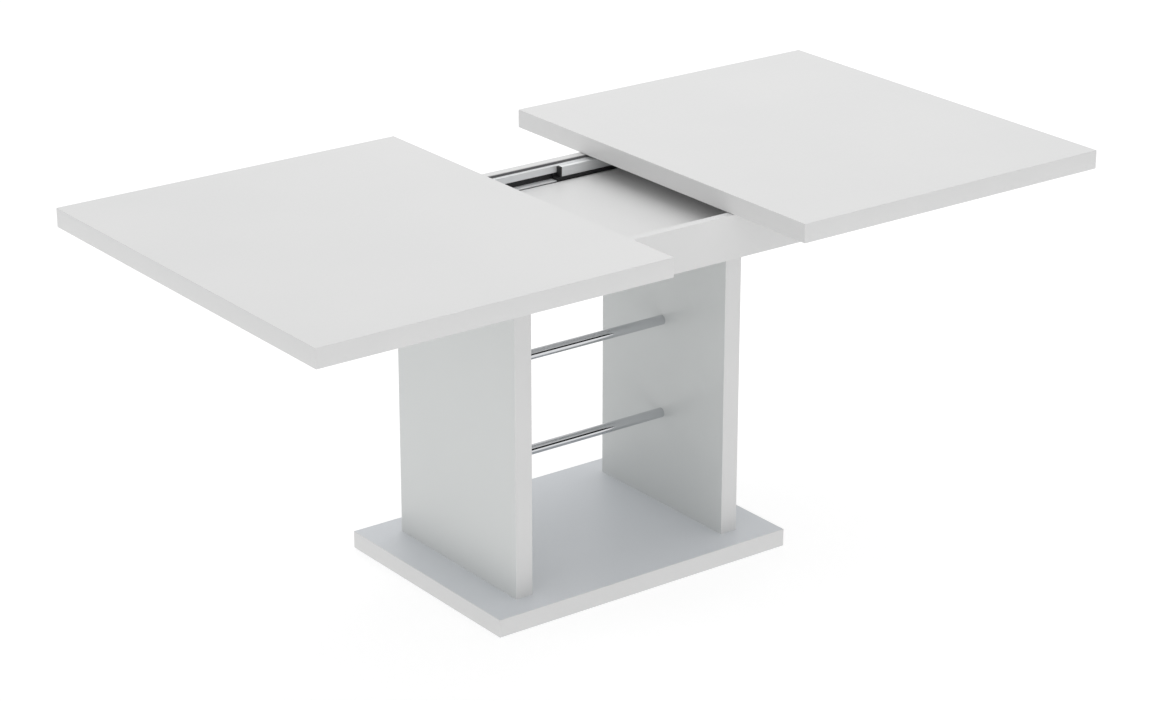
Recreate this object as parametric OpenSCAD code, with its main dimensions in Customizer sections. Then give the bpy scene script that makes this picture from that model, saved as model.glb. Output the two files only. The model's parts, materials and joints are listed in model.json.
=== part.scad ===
// Extendable dining table: two sliding top halves on a frame, carried by a two-panel column
// on a base plate. The loose extension leaf is stored in the frame, under the halves.
// X is the way the halves slide, +Z is up, and the origin is the base's centre on the floor.

/* [Top] */
// Height of the table top above the floor
table_h = 760; // [735:1:780]
// Length of the table top when it is closed
closed_l = 1500; // [1450:10:1600]
// Width of the table top
top_w = 900; // [800:10:1000]
// Thickness of the two top halves and of the leaf
top_t = 38; // [34:1:38]
// How far the left half is open as modelled
left_open = 100; // [0.25:0.25:205]
// How far the right half is open as modelled
right_open = 205; // [0.25:0.25:205]
// Width of the leaf, which is the length that it adds to the table
leaf_w = 400; // [380:1:400]
// Thickness of the glued edge bands
band_t = 1; // [0.5:0.1:1.5]

/* [Frame] */
// Length of the frame under the top
frame_l = 1100; // [1100:10:1200]
// Width of the frame over its boards
frame_w = 486; // [486:1:520]
// Height of the frame
frame_h = 89; // [89:1:100]
// Thickness of the frame's side and end boards
board_t = 18; // [18:1:22]
// Thickness of the board that closes the frame below
floor_t = 16; // [15:1:16]

/* [Column and base] */
// Length of the base plate
base_l = 690; // [650:5:800]
// Width of the base plate
base_w = 500; // [460:5:600]
// Thickness of the base plate
base_t = 36; // [34:1:40]
// Thickness of the two column panels
panel_t = 38; // [34:1:40]
// Depth of the two column panels
panel_d = 390; // [360:5:420]
// Distance over the outer faces of the column panels
column_l = 535; // [500:5:560]
// Diameter of the two cross bars
bar_dia = 20; // [16:1:24]
// Height of the lower cross bar above the floor
bar_low_z = 234; // [180:1:260]
// Height of the upper cross bar above the floor
bar_high_z = 432; // [400:1:480]

/* [Hidden] */

$fn = 48;
EPS = 0.01; // how far a cutter runs past the face that it cuts

// Colours
WHITE = [0.93, 0.93, 0.93];
WHITE_EDGE = [0.88, 0.88, 0.88];
STEEL = [0.72, 0.73, 0.75];
CHROME = [0.80, 0.81, 0.83];
ALUMINIUM = [0.76, 0.77, 0.78];
PLASTIC = [0.08, 0.08, 0.08];
BEECH = [0.80, 0.66, 0.46];
FELT = [0.30, 0.30, 0.31];

// Heights, from the top down
top_z = table_h - top_t;
frame_gap = 1; // between the frame and the halves above it
frame_top = top_z - frame_gap;
frame_z = frame_top - frame_h;
floor_top = frame_z + floor_t;
run_gap = 0.3; // between parts that slide past each other
half_l = closed_l / 2;
board_in = frame_w / 2 - board_t; // the side boards' inner faces are this far from the middle

// Base plate and what joins it to the column
pad_t = 2;
pad_dia = 32;
pad_inset = 35; // from the base's edges to the pads' middles
base_top = pad_t + base_t;
panel_mid = (column_l - panel_t) / 2; // from the table's middle to a panel's middle
panel_h = frame_z - base_top;
bolt_y = 120; // the bolts' distance from the panels' middle plane
dowel_y = 60; // the dowels' distance from the panels' middle plane
dowel_dia = 10;
dowel_l = 40;
base_bolt_dia = 8;
base_bolt_head = 22;
base_bolt_head_t = 4;
base_bolt_recess = 8; // how deep the bolt's counterbore is
base_bolt_l = 48;
base_insert_dia = 14;
base_insert_l = 25;
top_bolt_dia = 6;
top_bolt_head = 14;
top_bolt_head_t = 4;
top_bolt_l = 32;
top_insert_dia = 12;
top_insert_l = 25;
top_dowel_rise = 10; // how far the upper dowels stand in the frame's floor board

// Cross bars
bar_wall = 1.5;
bar_seat = 12; // how deep a bar sits in each panel
bar_l = column_l - 2 * panel_t + 2 * bar_seat;

// Frame dowels
frame_dowel_dia = 8;
frame_dowel_l = 30;
frame_dowel_side = 12; // how deep they sit in the side boards
frame_dowel_x = [-480, -240, 0, 240, 480];
end_dowel_y = 150;
end_dowel_l = 22;
end_dowel_down = 10; // how deep the end board's dowels sit in the floor board
end_gap = 2; // between the end board's top and the rails above it

// Guide rail: its profile is drawn as depth from the side board against height
rail_drop = 6; // from the frame's top to the rail's top
rail_h = 29;
rail_flange = 21.5; // reach of the lower flange into the well
rail_flange_t = 2;
rail_web = 2.5;
rail_box_d = 10; // depth of the box section along the rail's top
rail_slot_top = 15; // height of the slot's ceiling above the rail's bottom
rail_wall = 2;
rail_z = frame_top - rail_drop - rail_h;
liner_t = 1.5; // thickness of the liner on the slot's web
seal_t = 1.2;
seal_h = 4.5; // height of the seal above the rail's top
stop_t = 4.5;
stop_plug_l = 14;
rail_l = frame_l - 2 * stop_t;
stop_d = 22;
stop_h = 28;
rail_screw_dia = 4;
rail_screw_head = 8;
rail_screw_head_t = 1.5;
rail_screw_l = 12;
rail_screw_z = 8.5; // above the rail's bottom
rail_screw_x = [-480, -240, 0, 240, 480];

// Sliders: places along X are measured from their half's inner edge
slider_d0 = 10.5; // from the side board to the bar's near face
slider_d = 11;
slider_h = 20;
slider_wall = 1.5;
slider_z = rail_z + 8;
cap_t = 5;
cap_plug_l = 12;
long_from = -76;
short_from = 96;
slider_to = 340;
glide_d0 = rail_web + liner_t + run_gap;
glide_lip_t = 1.5; // the lip hangs in front of the rail's flange
glide_lip_d0 = rail_flange + run_gap;
glide_lip_z = rail_z + run_gap;
glide_foot_d = glide_lip_d0 + glide_lip_t - glide_d0;
glide_tongue_d = 5.4;
glide_z = rail_z + rail_flange_t + run_gap;
glide_top = rail_z + rail_slot_top - run_gap;
glide_lug = 8; // how far the long glide runs past its slider

// Brackets that hang the sliders on the halves
bracket_from = 110;
bracket_to = 330;
bracket_t = 2;
bracket_leg = 28.5;
bracket_low = 3; // from the slider's bottom to the bracket's
bracket_d0 = slider_d0 + slider_d;
top_screw_x = [130, 220, 310];
top_screw_d = bracket_d0 + 16; // from the side board
top_screw_dia = 4;
top_screw_head = 8;
top_screw_head_t = 2.6;
top_screw_l = 18;
slider_screw_x = [160, 280];
slider_screw_z = slider_z + 14;
slider_screw_dia = 4;
slider_screw_head = 7.5;
slider_screw_head_t = 2.2;
slider_screw_l = 9;

// Stored leaf
leaf_l = top_w;
leaf_end_gap = 5; // from the frame's open end to the leaf's end
leaf_x = leaf_end_gap - frame_l / 2;
leaf_z = floor_top + run_gap;

// A block centred on X and Y that stands at height z
module slab(length, width, thick, z) {
    translate([-length / 2, -width / 2, z]) cube([length, width, thick]);
}

// The ring of edge band around a board of the given outer size
module band(length, width, thick, z) {
    difference() {
        slab(length, width, thick, z);
        slab(length - 2 * band_t, width - 2 * band_t, thick + 2, z - 1);
    }
}

// An upright cylinder that stands at height z
module pin(dia, length, z) {
    translate([0, 0, z]) cylinder(d = dia, h = length);
}

// A cylinder along Y, from y to y + length
module pin_y(dia, length, y) {
    translate([0, y, 0]) rotate([-90, 0, 0]) cylinder(d = dia, h = length);
}

// Repeats at y and at -y over both column panels
module over_panels(y) {
    for (x = [-panel_mid, panel_mid])
        for (side = [-y, y])
            translate([x, side, 0]) children();
}

// Draws a rear part again at the front
module front_too() {
    children();
    mirror([0, 1, 0]) children();
}

// Extrudes a rear profile of [depth from the side board, height] along X
module rail_run(from, to) {
    translate([from, board_in, 0])
        rotate([90, 0, 90])
            linear_extrude(to - from)
                mirror([1, 0]) children();
}

// Puts a half, drawn with its inner edge at X = 0, at its place
module at_right() {
    translate([right_open, 0, 0]) children();
}

module at_left() {
    translate([-left_open, 0, 0]) rotate([0, 0, 180]) children();
}

// ---- base and column ----

module base_plate() {
    color(WHITE) difference() {
        slab(base_l - 2 * band_t, base_w - 2 * band_t, base_t, pad_t);
        over_panels(bolt_y) {
            pin(base_bolt_dia, base_top + 1, 0);
            pin(base_bolt_head + 1, base_bolt_recess + EPS, pad_t - EPS);
        }
        over_panels(dowel_y) pin(dowel_dia, dowel_l, base_top - dowel_l / 2);
    }
}

module base_edge_band() {
    color(WHITE_EDGE) band(base_l, base_w, base_t, pad_t);
}

module base_glide_pads() {
    pad_x = base_l / 2 - pad_inset;
    pad_y = base_w / 2 - pad_inset;
    places = [[-pad_x, -pad_y], [pad_x, -pad_y], [0, 0], [-pad_x, pad_y], [pad_x, pad_y]];
    color(FELT) for (place = places) translate(place) pin(pad_dia, pad_t, 0);
}

module base_bolts() {
    head_top = pad_t + base_bolt_recess;
    color(STEEL) over_panels(bolt_y) {
        pin(base_bolt_head, base_bolt_head_t, head_top - base_bolt_head_t);
        pin(base_bolt_dia, base_bolt_l + EPS, head_top - EPS);
    }
}

module base_inserts() {
    color(STEEL) over_panels(bolt_y) difference() {
        pin(base_insert_dia, base_insert_l, base_top);
        pin(base_bolt_dia, base_insert_l - 2, base_top - EPS);
    }
}

module base_dowels() {
    color(BEECH) over_panels(dowel_y) pin(dowel_dia, dowel_l, base_top - dowel_l / 2);
}

module column_panels() {
    difference() {
        for (x = [-panel_mid, panel_mid])
            translate([x, 0, 0]) slab(panel_t, panel_d - 2 * band_t, panel_h, base_top);
        over_panels(bolt_y) {
            pin(base_insert_dia, base_insert_l + EPS, base_top - EPS);
            pin(top_insert_dia, top_insert_l + EPS, frame_z - top_insert_l);
        }
        over_panels(dowel_y) {
            pin(dowel_dia, dowel_l, base_top - dowel_l / 2);
            pin(dowel_dia, dowel_l, frame_z + top_dowel_rise - dowel_l);
        }
        for (z = [bar_low_z, bar_high_z])
            translate([-bar_l / 2, 0, z]) rotate([0, 90, 0]) cylinder(d = bar_dia, h = bar_l);
    }
}

module column_panel(side) {
    color(WHITE) intersection() {
        column_panels();
        translate([side * panel_mid, 0, 0]) slab(panel_t, panel_d, panel_h, base_top);
    }
}

module column_edge_bands() {
    edge_y = (panel_d - band_t) / 2;
    color(WHITE_EDGE)
        for (x = [-panel_mid, panel_mid])
            for (y = [-edge_y, edge_y])
                translate([x, y, 0]) slab(panel_t, band_t, panel_h, base_top);
}

module cross_bar(z) {
    color(CHROME) translate([-bar_l / 2, 0, z]) rotate([0, 90, 0]) difference() {
        cylinder(d = bar_dia, h = bar_l);
        translate([0, 0, -1]) cylinder(d = bar_dia - 2 * bar_wall, h = bar_l + 2);
    }
}

module column_top_bolts() {
    color(STEEL) over_panels(bolt_y) {
        pin(top_bolt_head, top_bolt_head_t, floor_top - top_bolt_head_t);
        pin(top_bolt_dia, top_bolt_l + EPS, floor_top - top_bolt_head_t - top_bolt_l);
    }
}

module column_top_inserts() {
    color(STEEL) over_panels(bolt_y) difference() {
        pin(top_insert_dia, top_insert_l, frame_z - top_insert_l);
        pin(top_bolt_dia, top_insert_l, frame_z - top_insert_l + 2);
    }
}

module column_top_dowels() {
    color(BEECH) over_panels(dowel_y) pin(dowel_dia, dowel_l, frame_z + top_dowel_rise - dowel_l);
}

// ---- frame ----

// The dowels between the side boards and the floor board, on the rear side
module side_dowels() {
    start = board_in + frame_dowel_side - frame_dowel_l;
    for (x = frame_dowel_x)
        translate([x, 0, frame_z + floor_t / 2]) pin_y(frame_dowel_dia, frame_dowel_l, start);
}

// The dowels between the end board and the floor board
module end_dowels() {
    for (y = [-end_dowel_y, end_dowel_y])
        translate([(frame_l - board_t) / 2, y, 0])
            pin(frame_dowel_dia, end_dowel_l, floor_top - end_dowel_down);
}

module frame_floor() {
    color(WHITE) difference() {
        slab(frame_l, 2 * board_in, floor_t, frame_z);
        over_panels(bolt_y) {
            pin(top_bolt_dia, floor_t + 2, frame_z - 1);
            pin(top_bolt_head, top_bolt_head_t + EPS, floor_top - top_bolt_head_t);
        }
        over_panels(dowel_y) pin(dowel_dia, dowel_l, frame_z + top_dowel_rise - dowel_l);
        front_too() side_dowels();
        end_dowels();
    }
}

module rear_board() {
    difference() {
        translate([-frame_l / 2, board_in, frame_z]) cube([frame_l, board_t, frame_h]);
        side_dowels();
        rail_screws();
    }
}

module frame_board_rear() {
    color(WHITE) rear_board();
}

module frame_board_front() {
    color(WHITE) mirror([0, 1, 0]) rear_board();
}

module frame_end_board() {
    color(WHITE) difference() {
        translate([frame_l / 2 - board_t, -board_in, floor_top])
            cube([board_t, 2 * board_in, rail_z - end_gap - floor_top]);
        end_dowels();
    }
}

module frame_dowels() {
    color(BEECH) {
        front_too() side_dowels();
        end_dowels();
    }
}

// ---- guide rails ----

module rail_profile() {
    difference() {
        polygon([
            [0, 0], [rail_flange, 0], [rail_flange, rail_flange_t], [rail_web, rail_flange_t],
            [rail_web, rail_slot_top], [rail_box_d, rail_slot_top], [rail_box_d, rail_h],
            [0, rail_h]
        ]);
        rail_hollow();
    }
}

// The inside of the rail's box section
module rail_hollow() {
    translate([rail_wall, rail_slot_top + rail_wall])
        square([rail_box_d - 2 * rail_wall, rail_h - rail_slot_top - 2 * rail_wall]);
}

module rail_screws() {
    for (x = rail_screw_x)
        translate([x, 0, rail_z + rail_screw_z]) {
            pin_y(rail_screw_dia, rail_screw_l, board_in - rail_web + rail_screw_head_t - EPS);
            pin_y(rail_screw_head, rail_screw_head_t, board_in - rail_web);
        }
}

module rear_rail() {
    difference() {
        translate([0, 0, rail_z]) rail_run(-rail_l / 2, rail_l / 2) rail_profile();
        rail_screws();
    }
}

module guide_rail_rear() {
    color(ALUMINIUM) rear_rail();
}

module guide_rail_front() {
    color(ALUMINIUM) mirror([0, 1, 0]) rear_rail();
}

module guide_rail_screws() {
    color(STEEL) front_too() rail_screws();
}

// The black strip that lines the slot, pressed in over the rail's screws
module rear_liner() {
    translate([0, 0, rail_z])
        rail_run(-rail_l / 2, rail_l / 2)
            translate([rail_web, rail_flange_t]) square([liner_t, rail_slot_top - rail_flange_t]);
}

module guide_rail_liners() {
    color(PLASTIC) front_too() rear_liner();
}

// The felt strip on the side board, in the angle above the rail
module rear_seal() {
    translate([0, 0, rail_z])
        rail_run(-rail_l / 2, rail_l / 2)
            translate([0, rail_h]) square([seal_t, seal_h]);
}

module guide_rail_seals() {
    color(FELT) front_too() rear_seal();
}

// A stop closes each end of each rail, and its plug sits in the rail's box section
module rear_stop() {
    translate([0, 0, rail_z]) {
        rail_run(rail_l / 2, rail_l / 2 + stop_t) square([stop_d, stop_h]);
        rail_run(rail_l / 2 - stop_plug_l, rail_l / 2 + EPS) rail_hollow();
    }
}

module guide_rail_stops() {
    color(PLASTIC) front_too() {
        rear_stop();
        mirror([1, 0, 0]) rear_stop();
    }
}

// ---- stored leaf ----

module extension_leaf() {
    color(WHITE)
        translate([leaf_x + leaf_l / 2, 0, 0])
            slab(leaf_l - 2 * band_t, leaf_w - 2 * band_t, top_t, leaf_z);
}

module leaf_edge_band() {
    color(WHITE_EDGE)
        translate([leaf_x + leaf_l / 2, 0, 0])
            band(leaf_l, leaf_w, top_t, leaf_z);
}

// ---- one half, drawn with its inner edge at X = 0 and its long slider at the rear ----

module half_top() {
    color(WHITE) difference() {
        translate([half_l / 2, 0, 0])
            slab(half_l - 2 * band_t, top_w - 2 * band_t, top_t, top_z);
        front_too() top_screw_row();
    }
}

module half_band() {
    color(WHITE_EDGE) translate([half_l / 2, 0, 0]) band(half_l, top_w, top_t, top_z);
}

// A slider is a hollow bar between its two caps
module slider(from) {
    color(ALUMINIUM) difference() {
        rail_run(from + cap_t, slider_to - cap_t)
            translate([slider_d0, slider_z]) difference() {
                square([slider_d, slider_h]);
                translate([slider_wall, slider_wall]) slider_hollow();
            }
        slider_screw_row();
    }
}

module slider_hollow() {
    square([slider_d - 2 * slider_wall, slider_h - 2 * slider_wall]);
}

module slider_caps(from) {
    color(PLASTIC) {
        for (x = [from, slider_to - cap_t])
            rail_run(x, x + cap_t)
                translate([slider_d0, slider_z]) square([slider_d, slider_h]);
        for (x = [from + cap_t - EPS, slider_to - cap_t - cap_plug_l])
            rail_run(x, x + cap_plug_l + EPS)
                translate([slider_d0 + slider_wall, slider_z + slider_wall]) slider_hollow();
    }
}

// A glide is the plastic strip under a slider. Its tongue runs in the rail's slot, and its lip
// hangs in front of the rail's flange
module glide(from) {
    color(PLASTIC) rail_run(from, slider_to) {
        translate([glide_d0, glide_z]) square([glide_foot_d, slider_z - glide_z]);
        translate([glide_d0, slider_z - EPS])
            square([glide_tongue_d, glide_top - slider_z + EPS]);
        translate([glide_lip_d0, glide_lip_z]) square([glide_lip_t, glide_z - glide_lip_z + EPS]);
    }
}

module bracket() {
    low = slider_z + bracket_low;
    difference() {
        rail_run(bracket_from, bracket_to) {
            translate([bracket_d0, low]) square([bracket_t, top_z - low]);
            translate([bracket_d0, top_z - bracket_t]) square([bracket_leg, bracket_t]);
        }
        slider_screw_row();
        top_screw_row();
    }
}

module half_brackets() {
    color(STEEL) front_too() bracket();
}

// The screws up through the bracket into the half
module top_screw_row() {
    for (x = top_screw_x)
        translate([x, board_in - top_screw_d, 0]) {
            pin(top_screw_dia, top_screw_l, top_z - bracket_t - EPS);
            pin(top_screw_head, top_screw_head_t, top_z - bracket_t - top_screw_head_t);
        }
}

// The screws through the bracket into the slider
module slider_screw_row() {
    face = board_in - bracket_d0 - bracket_t;
    for (x = slider_screw_x)
        translate([x, 0, slider_screw_z]) {
            pin_y(slider_screw_dia, slider_screw_l, face - EPS);
            pin_y(slider_screw_head, slider_screw_head_t, face - slider_screw_head_t);
        }
}

module half_top_screws() {
    color(STEEL) front_too() top_screw_row();
}

module half_slider_screws() {
    color(STEEL) front_too() slider_screw_row();
}

module half_caps() {
    slider_caps(long_from);
    mirror([0, 1, 0]) slider_caps(short_from);
}

base_plate();
base_edge_band();
base_glide_pads();
base_bolts();
base_inserts();
base_dowels();
column_panel(-1);  // column_panel_left
column_panel(1);  // column_panel_right
column_edge_bands();
cross_bar(bar_high_z);  // cross_bar_upper
cross_bar(bar_low_z);  // cross_bar_lower
column_top_bolts();
column_top_inserts();
column_top_dowels();
frame_floor();
frame_board_front();
frame_board_rear();
frame_end_board();
frame_dowels();
guide_rail_front();
guide_rail_rear();
guide_rail_screws();
guide_rail_stops();
guide_rail_liners();
guide_rail_seals();
extension_leaf();
leaf_edge_band();
at_left() half_top();  // left_top
at_left() half_band();  // left_edge_band
at_left() slider(long_from);  // left_slider_long
at_left() mirror([0, 1, 0]) slider(short_from);  // left_slider_short
at_left() half_caps();  // left_slider_caps
at_left() glide(long_from - glide_lug);  // left_glide_long
at_left() mirror([0, 1, 0]) glide(short_from);  // left_glide_short
at_left() half_brackets();  // left_brackets
at_left() half_top_screws();  // left_top_screws
at_left() half_slider_screws();  // left_slider_screws
at_right() half_top();  // right_top
at_right() half_band();  // right_edge_band
at_right() slider(long_from);  // right_slider_long
at_right() mirror([0, 1, 0]) slider(short_from);  // right_slider_short
at_right() half_caps();  // right_slider_caps
at_right() glide(long_from - glide_lug);  // right_glide_long
at_right() mirror([0, 1, 0]) glide(short_from);  // right_glide_short
at_right() half_brackets();  // right_brackets
at_right() half_top_screws();  // right_top_screws
at_right() half_slider_screws();  // right_slider_screws
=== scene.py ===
"""Looks of the extendable dining table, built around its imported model."""

import json
import math

import bmesh
import bpy
from mathutils import Matrix, Vector


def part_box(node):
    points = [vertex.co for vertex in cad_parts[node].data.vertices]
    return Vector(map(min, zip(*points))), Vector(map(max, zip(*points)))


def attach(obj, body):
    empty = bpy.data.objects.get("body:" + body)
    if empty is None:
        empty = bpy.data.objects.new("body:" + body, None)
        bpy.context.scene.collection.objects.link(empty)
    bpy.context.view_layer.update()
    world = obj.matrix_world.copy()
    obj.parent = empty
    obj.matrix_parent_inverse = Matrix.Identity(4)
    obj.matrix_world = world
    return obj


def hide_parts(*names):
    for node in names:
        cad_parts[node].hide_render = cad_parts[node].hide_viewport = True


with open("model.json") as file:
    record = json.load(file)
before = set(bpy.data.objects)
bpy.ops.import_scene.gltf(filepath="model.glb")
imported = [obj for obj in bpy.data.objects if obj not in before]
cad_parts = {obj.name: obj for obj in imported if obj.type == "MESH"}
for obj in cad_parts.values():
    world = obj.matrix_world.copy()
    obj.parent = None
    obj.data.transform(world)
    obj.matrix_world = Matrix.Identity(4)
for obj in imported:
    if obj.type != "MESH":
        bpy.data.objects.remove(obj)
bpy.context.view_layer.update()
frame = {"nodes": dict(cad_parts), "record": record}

NODES = frame["nodes"]
BODY_OF = {node: body for body, nodes in frame["record"]["behaviour"]["bodies"].items() for node in nodes}
SLOT_OF = {part["node"]: part["material_slot"] for part in frame["record"]["subparts"]}
MM = 0.001
SAME_POINT = 0.001 * MM  # points closer than this are one

# The camera looks at a point near the table's middle
CAMERA_AZIMUTH = math.radians(-36.6)
CAMERA_ELEVATION = math.radians(21.2)
CAMERA_DISTANCE = 6.1
CAMERA_TARGET = Vector((0.015, 0.0, 0.416))
CAMERA_LENS = 98.4
CAMERA_REACH = 200.0


# ---- materials ----

class Shader:
    """A new material with its Principled shader, and short ways to add and join nodes."""

    def __init__(self, name, color, roughness, metallic=0.0, **constants):
        self.material = bpy.data.materials.new(name)
        self.material.use_nodes = True
        self.tree = self.material.node_tree
        self.bsdf = self.tree.nodes["Principled BSDF"]
        self.put("Base Color", (*color, 1.0))
        self.put("Roughness", roughness)
        self.put("Metallic", metallic)
        for socket, value in constants.items():
            self.put(socket.replace("_", " "), value)

    def put(self, socket, value):
        self.bsdf.inputs[socket].default_value = value

    def node(self, kind, **values):
        made = self.tree.nodes.new(kind)
        for socket, value in values.items():
            made.inputs[socket.replace("_", " ")].default_value = value
        return made

    def link(self, output, socket):
        self.tree.links.new(output, socket)

    def set_color(self, output):
        self.link(output, self.bsdf.inputs["Base Color"])

    def set_roughness(self, output):
        self.link(output, self.bsdf.inputs["Roughness"])

    def set_normal(self, output):
        self.link(output, self.bsdf.inputs["Normal"])

    def coords(self, stretch=(1.0, 1.0, 1.0)):
        """Object coordinates in metres, stretched along each axis."""
        source = self.node("ShaderNodeTexCoord")
        mapping = self.node("ShaderNodeMapping", Scale=stretch)
        self.link(source.outputs["Object"], mapping.inputs["Vector"])
        return mapping.outputs["Vector"]

    def noise(self, vector, scale, detail=2.0, roughness=0.5):
        made = self.node("ShaderNodeTexNoise", Scale=scale, Detail=detail, Roughness=roughness)
        self.link(vector, made.inputs["Vector"])
        return made.outputs["Fac"]

    def spread(self, value, low, high, start=0.3, end=0.7):
        """Maps a texture's value from start..end to low..high."""
        made = self.node("ShaderNodeMapRange", From_Min=start, From_Max=end, To_Min=low, To_Max=high)
        self.link(value, made.inputs["Value"])
        return made.outputs["Result"]

    def mix(self, factor, first, second):
        made = self.node("ShaderNodeMix")
        made.data_type = "RGBA"
        made.inputs["A"].default_value = (*first, 1.0)
        made.inputs["B"].default_value = (*second, 1.0)
        self.link(factor, made.inputs["Factor"])
        return made.outputs["Result"]

    def bump(self, height, strength, distance, under=None):
        made = self.node("ShaderNodeBump", Strength=strength, Distance=distance)
        self.link(height, made.inputs["Height"])
        if under is not None:
            self.link(under, made.inputs["Normal"])
        return made.outputs["Normal"]


def laminate(name, low, high):
    """White melamine board face: a fine pearl grain over a very slow waviness."""
    s = Shader(name, high, roughness=0.36, Specular_IOR_Level=0.45)
    place = s.coords()
    slow = s.noise(place, scale=2.6, detail=3.0)
    fine = s.noise(place, scale=900.0, detail=3.0, roughness=0.6)
    specks = s.noise(place, scale=240.0, detail=1.0)
    ripple = s.noise(place, scale=14.0)
    s.set_color(s.mix(s.spread(slow, 0.0, 1.0), low, high))
    s.set_roughness(s.spread(specks, 0.31, 0.40))
    wave = s.bump(ripple, strength=0.05, distance=0.6 * MM)
    s.set_normal(s.bump(fine, strength=0.22, distance=0.06 * MM, under=wave))
    return s.material


def edge_band(name, stretch):
    """White plastic edge band: a touch glossier, with faint run lines along its length."""
    s = Shader(name, (0.70, 0.70, 0.70), roughness=0.30, Specular_IOR_Level=0.5)
    lines = s.noise(s.coords(stretch), scale=1.0, roughness=0.6)
    slow = s.noise(s.coords(), scale=9.0)
    s.set_color(s.mix(s.spread(slow, 0.0, 1.0), (0.675, 0.677, 0.676), (0.691, 0.691, 0.690)))
    s.set_roughness(s.spread(lines, 0.29, 0.33))
    s.set_normal(s.bump(lines, strength=0.03, distance=0.05 * MM))
    return s.material


def chrome():
    """Polished chrome with faint smears and hairlines round the tube."""
    s = Shader("polished_chrome", (0.65, 0.66, 0.68), roughness=0.06, metallic=1.0)
    smears = s.noise(s.coords(), scale=28.0, detail=4.0, roughness=0.65)
    hairs = s.noise(s.coords((3.0, 300.0, 300.0)), scale=1.0)
    s.set_roughness(s.spread(smears, 0.045, 0.10))
    s.set_normal(s.bump(hairs, strength=0.02, distance=0.03 * MM))
    return s.material


def aluminium():
    """Satin anodised extrusion with die lines along its length, X."""
    s = Shader("satin_aluminium", (0.84, 0.85, 0.86), roughness=0.55, metallic=0.5)
    lines = s.noise(s.coords((2.0, 2600.0, 2600.0)), scale=1.0, detail=3.0, roughness=0.7)
    cloud = s.noise(s.coords(), scale=40.0, detail=3.0)
    s.set_color(s.mix(s.spread(lines, 0.0, 1.0), (0.79, 0.80, 0.81), (0.87, 0.88, 0.89)))
    s.set_roughness(s.spread(cloud, 0.50, 0.60))
    s.set_normal(s.bump(lines, strength=0.20, distance=0.05 * MM))
    return s.material


def zinc_steel():
    """Zinc-plated steel with a fine crystalline mottle."""
    s = Shader("zinc_plated_steel", (0.60, 0.61, 0.64), roughness=0.38, metallic=1.0)
    cells = s.node("ShaderNodeTexVoronoi", Scale=420.0)
    s.link(s.coords(), cells.inputs["Vector"])
    grain = s.noise(s.coords(), scale=1600.0)
    s.set_color(s.mix(cells.outputs["Color"], (0.54, 0.55, 0.58), (0.66, 0.67, 0.69)))
    s.set_roughness(s.spread(cells.outputs["Distance"], 0.30, 0.46, start=0.0, end=1.0))
    s.set_normal(s.bump(grain, strength=0.15, distance=0.04 * MM))
    return s.material


def black_plastic():
    """Moulded nylon with a fine spark-eroded grain."""
    s = Shader("black_nylon", (0.012, 0.012, 0.013), roughness=0.48, Specular_IOR_Level=0.4)
    grain = s.noise(s.coords(), scale=2200.0)
    scuffs = s.noise(s.coords((60.0, 900.0, 900.0)), scale=1.0)
    s.set_color(s.mix(s.spread(scuffs, 0.0, 1.0), (0.010, 0.010, 0.011), (0.019, 0.019, 0.020)))
    s.set_roughness(s.spread(scuffs, 0.42, 0.56))
    s.set_normal(s.bump(grain, strength=0.25, distance=0.05 * MM))
    return s.material


def beech():
    """Turned beech with small dark rays."""
    s = Shader("beech_dowel", (0.60, 0.42, 0.25), roughness=0.62)
    grain = s.noise(s.coords((600.0, 600.0, 60.0)), scale=1.0, detail=4.0, roughness=0.6)
    s.set_color(s.mix(s.spread(grain, 0.0, 1.0), (0.50, 0.33, 0.18), (0.68, 0.50, 0.31)))
    s.set_normal(s.bump(grain, strength=0.3, distance=0.1 * MM))
    return s.material


def felt():
    """Pressed grey felt with matted fibres."""
    s = Shader("grey_felt", (0.10, 0.10, 0.105), roughness=0.95, Sheen_Weight=0.4, Sheen_Roughness=0.5)
    fibres = s.noise(s.coords((900.0, 2400.0, 2400.0)), scale=1.0, detail=5.0, roughness=0.75)
    s.set_color(s.mix(s.spread(fibres, 0.0, 1.0), (0.065, 0.065, 0.07), (0.16, 0.16, 0.165)))
    s.set_normal(s.bump(fibres, strength=0.8, distance=0.3 * MM))
    return s.material


MATERIALS = {
    "board": laminate("white_laminate", (0.678, 0.680, 0.679), (0.696, 0.696, 0.694)),
    "edge": edge_band("white_edge_band", (6.0, 6.0, 900.0)),
    "chrome": chrome(),
    "aluminium": aluminium(),
    "steel": zinc_steel(),
    "black_plastic": black_plastic(),
    "beech": beech(),
    "felt": felt(),
}
UPRIGHT_BAND = edge_band("white_edge_band_upright", (900.0, 900.0, 6.0))

# Painted shade: the column's boards take a darker copy of the laminate, a touch cooler than the top, and
# the base a touch bluer one, for the dim, cool light under the top
PANEL_SHADED_FACE = laminate("white_laminate_panel_painted_shade", (0.645, 0.662, 0.658), (0.662, 0.678, 0.673))
BASE_SHADED_FACE = laminate("white_laminate_base_painted_shade", (0.652, 0.676, 0.704), (0.670, 0.692, 0.720))
SHADED_FACE_OF = {"column_panel_left": PANEL_SHADED_FACE, "column_panel_right": PANEL_SHADED_FACE, "base_plate": BASE_SHADED_FACE}


# ---- mesh helpers ----

CREASE = math.radians(28)


def smooth(mesh):
    """Smooth shading with every edge sharper than a crease kept sharp."""
    for face in mesh.polygons:
        face.use_smooth = True
    mesh.set_sharp_from_angle(angle=CREASE)


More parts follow.
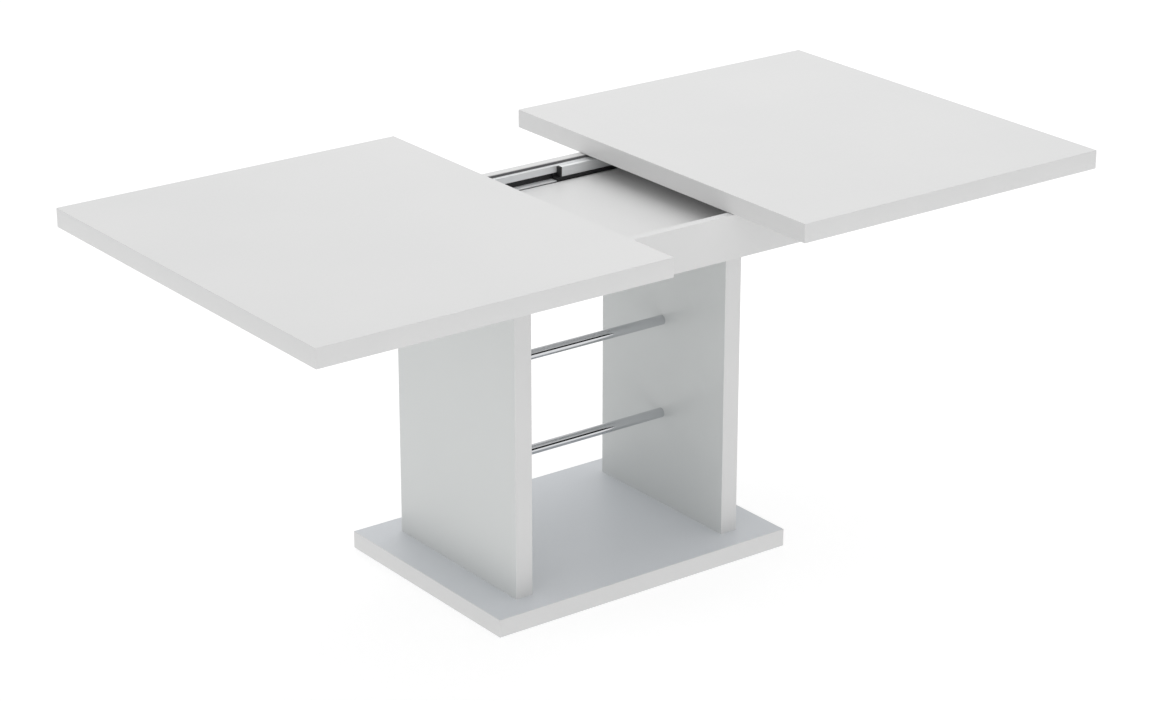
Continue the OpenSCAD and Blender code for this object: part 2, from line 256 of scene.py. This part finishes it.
def new_piece(name, bm, node, finish=None):
    """Makes an object of bm that stands for a CAD node, rides on its body and takes its finish."""
    bmesh.ops.remove_doubles(bm, verts=bm.verts, dist=SAME_POINT / 10)
    bmesh.ops.dissolve_degenerate(bm, edges=bm.edges, dist=SAME_POINT / 100)
    bmesh.ops.recalc_face_normals(bm, faces=bm.faces)
    mesh = bpy.data.meshes.new(name)
    bm.to_mesh(mesh)
    bm.free()
    smooth(mesh)
    piece = bpy.data.objects.new(name, mesh)
    bpy.context.scene.collection.objects.link(piece)
    mesh.materials.append(finish or MATERIALS[SLOT_OF[node]])
    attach(piece, BODY_OF[node])
    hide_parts(node)
    return piece


def strip_faces(bm, lines, wraps=True, closed=True):
    """Quads between neighbouring lines of vertices, and back to the first line if it wraps.
    Each line is a closed ring, or an open one."""
    count = len(lines[0])
    for i in range(len(lines) if wraps else len(lines) - 1):
        here = lines[i]
        there = lines[(i + 1) % len(lines)]
        for j in range(count if closed else count - 1):
            k = (j + 1) % count
            bm.faces.new((here[j], here[k], there[k], there[j]))


def solids(node):
    """The separate solids of a CAD node, each as a list of its corner points."""
    bm = bmesh.new()
    bm.from_mesh(NODES[node].data)
    bmesh.ops.remove_doubles(bm, verts=bm.verts, dist=SAME_POINT)
    unseen = set(bm.verts)
    groups = []
    while unseen:
        todo = [unseen.pop()]
        group = []
        while todo:
            vertex = todo.pop()
            group.append(vertex.co.copy())
            for edge in vertex.link_edges:
                other = edge.other_vert(vertex)
                if other in unseen:
                    unseen.remove(other)
                    todo.append(other)
        groups.append(group)
    bm.free()
    return groups


def corners(points):
    """The lowest and highest corner of the box round some points."""
    low = Vector(min(p[i] for p in points) for i in range(3))
    high = Vector(max(p[i] for p in points) for i in range(3))
    return low, high


def turned(bm, line_at, place, steps, closed=False):
    """Turns a line of (radius, height), which may change with the angle, round Z and sets it at a
    place matrix. An open line runs from axis to axis."""
    lines = []
    for i in range(steps):
        turn = 2 * math.pi * i / steps
        lines.append([
            bm.verts.new(place @ Vector((r * math.cos(turn), r * math.sin(turn), h)))
            for r, h in line_at(turn)
        ])
    strip_faces(bm, lines, closed=closed)


def facing(direction, origin):
    """A matrix that turns +Z to a direction and moves to an origin."""
    return Matrix.Translation(origin) @ direction.to_track_quat("Z", "Y").to_matrix().to_4x4()


# ---- edge bands ----

ARC_STEPS = 5


def quarter(start, steps=ARC_STEPS):
    """Angles of a quarter turn from a start angle."""
    return [start + math.pi / 2 * i / steps for i in range(steps + 1)]


def wrapped_band(node, core):
    """A band glued round a rectangular board, with its outer edges rounded."""
    low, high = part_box(node)
    inner_low, inner_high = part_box(core)
    thick = inner_low.x - low.x
    profile = []
    for middle, start in ((low.z + thick, -math.pi / 2), (high.z - thick, 0.0)):
        profile += [(thick * math.cos(a), middle + thick * math.sin(a)) for a in quarter(start)]
    bends = [
        (inner_high.x, inner_high.y, 0.0), (inner_low.x, inner_high.y, math.pi / 2),
        (inner_low.x, inner_low.y, math.pi), (inner_high.x, inner_low.y, 3 * math.pi / 2),
    ]
    bm = bmesh.new()
    rings = []
    for x, y, start in bends:
        for a in quarter(start):
            rings.append([
                bm.verts.new((x + d * math.cos(a), y + d * math.sin(a), z)) for d, z in profile
            ])
    strip_faces(bm, rings)
    return new_piece(f"{node}_wrapped", bm, node)


def panel_bands(node):
    """The bands on the upright edges of the column panels, rounded along both long edges."""
    bm = bmesh.new()
    for points in solids(node):
        low, high = corners(points)
        thick = high.y - low.y
        side = math.copysign(1.0, low.y + high.y)
        face, back = (high.y, low.y) if side > 0 else (low.y, high.y)
        outline = [(high.x, back)]
        for middle, start in ((high.x - thick, 0.0), (low.x + thick, math.pi / 2)):
            outline += [
                (middle + thick * math.cos(a), face - side * thick * (1 - math.sin(a)))
                for a in quarter(start)
            ]
        outline.append((low.x, back))
        rings = [[bm.verts.new((x, y, z)) for x, y in outline] for z in (low.z, high.z)]
        strip_faces(bm, rings, wraps=False)
        bm.faces.new(rings[0])
        bm.faces.new(rings[1])
    return new_piece(f"{node}_rounded", bm, node, UPRIGHT_BAND)


wrapped_band("base_edge_band", "base_plate")
wrapped_band("leaf_edge_band", "extension_leaf")
wrapped_band("left_edge_band", "left_top")
wrapped_band("right_edge_band", "right_top")
panel_bands("column_edge_bands")


# ---- turned pieces ----

BAR_STEPS = 96
BAR_WALL = 1.5 * MM
BAR_CHAMFER = 0.5 * MM


def cross_bar(node):
    """A polished tube along X with lightly chamfered ends."""
    low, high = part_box(node)
    radius = (high.z - low.z) / 2
    length = high.x - low.x
    inner = radius - BAR_WALL
    profile = [
        (inner, 0.0), (radius - BAR_CHAMFER, 0.0), (radius, BAR_CHAMFER),
        (radius, length - BAR_CHAMFER), (radius - BAR_CHAMFER, length), (inner, length),
    ]
    bm = bmesh.new()
    start = Vector((low.x, (low.y + high.y) / 2, (low.z + high.z) / 2))
    turned(bm, lambda turn: profile, facing(Vector((1, 0, 0)), start), BAR_STEPS, closed=True)
    return new_piece(f"{node}_tube", bm, node)


cross_bar("cross_bar_upper")
cross_bar("cross_bar_lower")

PAD_STEPS = 64
PAD_ARC_STEPS = 4
PAD_ROUND = 0.7 * MM


def felt_pads(node):
    """Round felt pads with a soft lower rim."""
    bm = bmesh.new()
    for points in solids(node):
        low, high = corners(points)
        radius = (high.x - low.x) / 2
        height = high.z - low.z
        profile = [(0.0, 0.0)]
        flat = radius - PAD_ROUND
        for a in quarter(-math.pi / 2, PAD_ARC_STEPS):
            profile.append((flat + PAD_ROUND * math.cos(a), PAD_ROUND + PAD_ROUND * math.sin(a)))
        profile += [(radius, height), (0.0, height)]
        place = Matrix.Translation(((low.x + high.x) / 2, (low.y + high.y) / 2, low.z))
        turned(bm, lambda turn: profile, place, PAD_STEPS, closed=True)
    return new_piece(f"{node}_round", bm, node)


felt_pads("base_glide_pads")

DOWEL_STEPS = 96
DOWEL_FLUTES = 16
FLUTE_DEPTH = 0.3 * MM
DOWEL_CHAMFER = 1.0 * MM


def dowels(node):
    """Fluted dowels with chamfered ends."""
    bm = bmesh.new()
    for points in solids(node):
        low, high = corners(points)
        size = high - low
        length = max(size)
        radius = min(size) / 2
        along = Vector(1.0 if side == length else 0.0 for side in size)

        def line_at(turn):
            flute = radius - FLUTE_DEPTH * (0.5 - 0.5 * math.cos(DOWEL_FLUTES * turn))
            return [
                (0.0, 0.0), (radius - DOWEL_CHAMFER, 0.0), (flute, DOWEL_CHAMFER),
                (flute, length - DOWEL_CHAMFER), (radius - DOWEL_CHAMFER, length), (0.0, length),
            ]

        turned(bm, line_at, facing(along, (low + high - along * length) / 2), DOWEL_STEPS)
    return new_piece(f"{node}_fluted", bm, node)


for node in ("base_dowels", "column_top_dowels", "frame_dowels"):
    dowels(node)

HEAD_SLACK = 0.01 * MM  # how far from a head's full radius its points may be


def screw_sizes(points, out):
    """Head radius, head height, shank radius, length and head point of a plain CAD screw or insert.
    out points from the shank to the head."""
    low, high = corners(points)
    middle = (low + high) / 2
    along = [(p - middle).dot(out) for p in points]
    across = [((p - middle) - out * a).length for p, a in zip(points, along)]
    head_r = max(across)
    shank_r = min(across)
    head_foot = min(a for a, r in zip(along, across) if r > head_r - HEAD_SLACK)
    return head_r, max(along) - head_foot, shank_r, max(along) - min(along), middle + out * max(along)


INSERT_STEPS = 48
INSERT_PITCH = 3.0 * MM
INSERT_ROOT = 0.84  # of the outer radius
INSERT_FLOOR = 2.0 * MM  # closed end of the bore
INSERT_CHAMFER = 0.4 * MM


def inserts(node, out):
    """Screw-in threaded inserts, open towards a direction, with coarse ribs outside."""
    bm = bmesh.new()
    for points in solids(node):
        radius, _, bore, length, mouth = screw_sizes(points, out)
        root = INSERT_ROOT * radius
        line = [
            (0.0, INSERT_FLOOR - length), (bore, INSERT_FLOOR - length), (bore, -INSERT_CHAMFER),
            (bore + INSERT_CHAMFER, 0.0), (radius, 0.0),
            (radius, -INSERT_PITCH / 3), (root, -INSERT_PITCH / 2),
        ]
        depth = INSERT_PITCH
        while depth + INSERT_PITCH < length:
            line += [
                (root, -depth), (radius, -depth - INSERT_PITCH / 4),
                (radius, -depth - INSERT_PITCH / 2), (root, -depth - 3 * INSERT_PITCH / 4),
            ]
            depth += INSERT_PITCH
        line += [(root, INSERT_CHAMFER - length), (root - INSERT_CHAMFER, -length), (0.0, -length)]
        turned(bm, lambda turn: line, facing(out, mouth), INSERT_STEPS)
    return new_piece(f"{node}_ribbed", bm, node)


SCREW_STEPS = 48
HEAD_RIM = 0.1 * MM
HEAD_CHAMFER = 0.2 * MM
DOME_ANGLES = (42, 55, 68, 80, 90)
SMALLEST_SINE = 1e-6  # keeps the cross recess finite along its arms

# Of the head's radius, or of its height
RECESS_REACH = 0.52
CROSS_WIDTH = 0.13
DEEPEST_RECESS = 0.5
RECESS_DEPTH = 0.62
DOME_DROP = 0.75

# Of the recess's reach, or of its depth
RECESS_FLOOR = 0.82
RECESS_LIP = 1.03
LIP_DEPTH = 0.05

# Of the shank's radius
THREAD_DEPTH = 0.14
THREAD_PITCH = 0.55
THREAD_START = 0.4
THREAD_END = 1.0
TIP_HEIGHT = 0.6
TIP_RADIUS = 0.35


def cross_recess(turn, reach, width):
    """Radius of a cross-shaped recess at an angle."""
    off = abs((turn + math.pi / 4) % (math.pi / 2) - math.pi / 4)
    return min(reach, width / max(math.sin(off), SMALLEST_SINE))


def hex_recess(turn, reach, width):
    """Radius of a hexagonal recess at an angle. It takes a width only to match the cross."""
    off = (turn + math.pi / 6) % (math.pi / 3) - math.pi / 6
    return reach * math.cos(math.pi / 6) / math.cos(off)


def screws(node, out_of, recess, domed):
    """Screws with a driven head and a threaded shank in place of a CAD node's plain ones."""
    bm = bmesh.new()
    for points in solids(node):
        low, high = corners(points)
        out = out_of((low + high) / 2)
        head_r, head_h, shank_r, length, top = screw_sizes(points, out)
        reach = head_r * RECESS_REACH
        width = head_r * CROSS_WIDTH
        depth = min(head_h * RECESS_DEPTH, head_r * DEEPEST_RECESS)
        if domed:
            top_line = [
                (head_r * math.sin(a), -head_h * DOME_DROP * (1 - math.cos(a)))
                for a in map(math.radians, DOME_ANGLES)
            ]
        else:
            top_line = [(head_r - HEAD_CHAMFER, 0.0), (head_r, -HEAD_CHAMFER)]
        rim = [(head_r, -head_h + HEAD_RIM), (head_r, -head_h), (shank_r, -head_h)]
        pitch = THREAD_PITCH * shank_r
        root = shank_r * (1 - THREAD_DEPTH)
        thread = []
        h = -head_h - shank_r * THREAD_START
        while h - pitch > -length + shank_r * THREAD_END:
            thread += [(root, h), (shank_r, h - pitch / 2)]
            h -= pitch
        tip = [
            (root, h), (root, -length + shank_r * TIP_HEIGHT),
            (shank_r * TIP_RADIUS, -length), (0.0, -length),
        ]

        def line_at(turn):
            edge = recess(turn, reach, width)
            socket = [
                (0.0, -depth), (edge * RECESS_FLOOR, -depth),
                (edge, -depth * LIP_DEPTH), (edge * RECESS_LIP, 0.0),
            ]
            return socket + top_line + rim + thread + tip

        turned(bm, line_at, facing(out, top), SCREW_STEPS)
    return new_piece(f"{node}_threaded", bm, node)


# Where a screw's head points, worked out from the screw's middle

def downwards(middle):
    return Vector((0, 0, -1))


def upwards(middle):
    return Vector((0, 0, 1))


def to_the_well(middle):
    return Vector((0, -math.copysign(1.0, middle.y), 0))


inserts("base_inserts", Vector((0, 0, -1)))
inserts("column_top_inserts", Vector((0, 0, 1)))
screws("base_bolts", downwards, hex_recess, domed=False)
screws("column_top_bolts", upwards, hex_recess, domed=False)
screws("guide_rail_screws", to_the_well, cross_recess, domed=False)
for half in ("left", "right"):
    screws(f"{half}_top_screws", downwards, cross_recess, domed=True)
    screws(f"{half}_slider_screws", to_the_well, cross_recess, domed=True)


# ---- CAD nodes that keep their shape ----

ROUNDING = {
    "frame_board_front": 0.8 * MM, "frame_board_rear": 0.8 * MM, "frame_end_board": 0.8 * MM,
    "frame_floor": 0.4 * MM,
    "guide_rail_front": 0.25 * MM, "guide_rail_rear": 0.25 * MM, "guide_rail_stops": 0.5 * MM,
    # Painted shade: the rails' black nylon liners darken the slot, and their grey felt seals the line
    # between the boards and the rails, where shade falls
    "guide_rail_liners": 0.3 * MM, "guide_rail_seals": 0.3 * MM,
}
HALF_ROUNDING = {
    "slider_long": 0.4 * MM, "slider_short": 0.4 * MM, "slider_caps": 0.4 * MM,
    "glide_long": 0.5 * MM, "glide_short": 0.5 * MM, "brackets": 0.4 * MM,
}
for half in ("left", "right"):
    for part, width in HALF_ROUNDING.items():
        ROUNDING[f"{half}_{part}"] = width

ROUND_STEPS = 3
SHARP_FOLD = math.radians(40)
LONG_EDGE = 1.4 * MM


def mark_long_edges():
    """A node group that marks long, sharp edges for the bevel. The short ones round a hole stay crisp."""
    group = bpy.data.node_groups.new("long_edges", "GeometryNodeTree")
    group.interface.new_socket("Geometry", in_out="INPUT", socket_type="NodeSocketGeometry")
    group.interface.new_socket("Geometry", in_out="OUTPUT", socket_type="NodeSocketGeometry")
    start = group.nodes.new("NodeGroupInput")
    end = group.nodes.new("NodeGroupOutput")
    fold = group.nodes.new("GeometryNodeInputMeshEdgeAngle")
    ends = group.nodes.new("GeometryNodeInputMeshEdgeVertices")
    span = group.nodes.new("ShaderNodeVectorMath")
    span.operation = "DISTANCE"
    group.links.new(ends.outputs["Position 1"], span.inputs[0])
    group.links.new(ends.outputs["Position 2"], span.inputs[1])
    tests = []
    for value, limit in ((fold.outputs["Unsigned Angle"], SHARP_FOLD), (span.outputs["Value"], LONG_EDGE)):
        test = group.nodes.new("ShaderNodeMath")
        test.operation = "GREATER_THAN"
        test.inputs[1].default_value = limit
        group.links.new(value, test.inputs[0])
        tests.append(test)
    both = group.nodes.new("ShaderNodeMath")
    both.operation = "MULTIPLY"
    for i, test in enumerate(tests):
        group.links.new(test.outputs[0], both.inputs[i])
    store = group.nodes.new("GeometryNodeStoreNamedAttribute")
    store.data_type = "FLOAT"
    store.domain = "EDGE"
    store.inputs["Name"].default_value = "bevel_weight_edge"
    group.links.new(start.outputs[0], store.inputs["Geometry"])
    group.links.new(both.outputs[0], store.inputs["Value"])
    group.links.new(store.outputs["Geometry"], end.inputs[0])
    return group


LONG_EDGES = mark_long_edges()


def soften(node, width):
    """Rounds a CAD node's edges with modifiers, which leave its mesh as it is."""
    piece = NODES[node]
    weld = piece.modifiers.new("weld", "WELD")
    weld.merge_threshold = SAME_POINT
    marks = piece.modifiers.new("marks", "NODES")
    marks.node_group = LONG_EDGES
    bevel = piece.modifiers.new("round", "BEVEL")
    bevel.width = width
    bevel.segments = ROUND_STEPS
    bevel.limit_method = "WEIGHT"
    bevel.use_clamp_overlap = True
    normals = piece.modifiers.new("normals", "WEIGHTED_NORMAL")
    normals.keep_sharp = True


# The column panels and the base take the painted-shade copies of the laminate
for node, piece in NODES.items():
    piece.data.materials.clear()
    piece.data.materials.append(SHADED_FACE_OF.get(node) or MATERIALS[SLOT_OF[node]])
    if node in ROUNDING:
        soften(node, ROUNDING[node])


# ---- stage, light and camera ----

FLOOR_RADIUS = 40.0
FLOOR_STEPS = 96
FLOOR_GREY = (0.40, 0.40, 0.40)
FLOOR_GLOW = 0.675


def stage_floor():
    """A pale studio floor that glows a little, as a lit sweep does."""
    bm = bmesh.new()
    bmesh.ops.create_circle(bm, cap_ends=True, segments=FLOOR_STEPS, radius=FLOOR_RADIUS)
    mesh = bpy.data.meshes.new("studio_floor")
    bm.to_mesh(mesh)
    bm.free()
    floor = bpy.data.objects.new("studio_floor", mesh)
    bpy.context.scene.collection.objects.link(floor)
    s = Shader("studio_floor", FLOOR_GREY, roughness=0.85)
    s.put("Emission Color", (1.0, 1.0, 1.0, 1.0))
    s.put("Emission Strength", FLOOR_GLOW)
    mesh.materials.append(s.material)


SKY = [(0.0, 0.64), (0.12, 0.54), (0.30, 0.86), (1.0, 0.92)]  # upward direction and level
FLAG = Vector((0.55, -0.81, 0.20)).normalized()
FLAG_REACH = math.radians(26)
FLAG_CORE = math.radians(15)
FLAG_LEVEL = 0.03
BACKDROP_LEVEL = 1.0


def level_between(tree, factor, first, level):
    """Mixes a colour towards a grey level by a factor."""
    made = tree.nodes.new("ShaderNodeMix")
    made.data_type = "RGBA"
    made.inputs["B"].default_value = (level, level, level, 1.0)
    tree.links.new(factor, made.inputs["Factor"])
    tree.links.new(first, made.inputs["A"])
    return made.outputs["Result"]


def sky():
    """A soft white studio, brightest overhead, with a dark flag low at the front right that gives
    the polished bars their dark line. The camera itself sees a plain white backdrop."""
    world = bpy.data.worlds.new("studio")
    world.use_nodes = True
    tree = world.node_tree
    place = tree.nodes.new("ShaderNodeTexCoord")
    split = tree.nodes.new("ShaderNodeSeparateXYZ")
    tree.links.new(place.outputs["Generated"], split.inputs[0])
    ramp = tree.nodes.new("ShaderNodeValToRGB")
    while len(ramp.color_ramp.elements) < len(SKY):
        ramp.color_ramp.elements.new(0.5)
    for element, (position, level) in zip(ramp.color_ramp.elements, SKY):
        element.position = position
        element.color = (level, level, level, 1.0)
    tree.links.new(split.outputs["Z"], ramp.inputs["Fac"])
    towards = tree.nodes.new("ShaderNodeVectorMath")
    towards.operation = "DOT_PRODUCT"
    towards.inputs[1].default_value = FLAG
    tree.links.new(place.outputs["Generated"], towards.inputs[0])
    inside = tree.nodes.new("ShaderNodeMapRange")
    inside.interpolation_type = "SMOOTHSTEP"
    inside.inputs["From Min"].default_value = math.cos(FLAG_REACH)
    inside.inputs["From Max"].default_value = math.cos(FLAG_CORE)
    tree.links.new(towards.outputs["Value"], inside.inputs["Value"])
    rays = tree.nodes.new("ShaderNodeLightPath")
    flagged = level_between(tree, inside.outputs["Result"], ramp.outputs["Color"], FLAG_LEVEL)
    seen = level_between(tree, rays.outputs["Is Camera Ray"], flagged, BACKDROP_LEVEL)
    background = tree.nodes["Background"]
    background.inputs["Strength"].default_value = 1.0
    tree.links.new(seen, background.inputs["Color"])
    bpy.context.scene.world = world


def softbox(name, place, target, size, power):
    """A square soft light at a place that faces a target."""
    light = bpy.data.lights.new(name, "AREA")
    light.shape = "SQUARE"
    light.size = size
    light.energy = power
    lamp = bpy.data.objects.new(name, light)
    bpy.context.scene.collection.objects.link(lamp)
    lamp.matrix_world = facing(Vector(place) - Vector(target), Vector(place))


def camera():
    """The camera stands off from its target by azimuth, elevation and distance."""
    back = Vector((
        math.sin(CAMERA_AZIMUTH) * math.cos(CAMERA_ELEVATION),
        -math.cos(CAMERA_AZIMUTH) * math.cos(CAMERA_ELEVATION),
        math.sin(CAMERA_ELEVATION),
    ))
    data = bpy.data.cameras.new("camera")
    data.lens = CAMERA_LENS
    data.clip_end = CAMERA_REACH
    view = bpy.data.objects.new("camera", data)
    bpy.context.scene.collection.objects.link(view)
    view.location = CAMERA_TARGET + back * CAMERA_DISTANCE
    view.rotation_euler = back.to_track_quat("Z", "Y").to_euler()
    bpy.context.scene.camera = view


stage_floor()
sky()
softbox("key", place=(1.0, 1.2, 4.0), target=(0.2, 0.0, 0.7), size=3.0, power=39.0)
softbox("fill", place=(0.3, -5.0, 1.2), target=(0.0, 0.0, 0.4), size=3.0, power=21.0)
camera()
bpy.context.scene.view_settings.view_transform = "Standard"
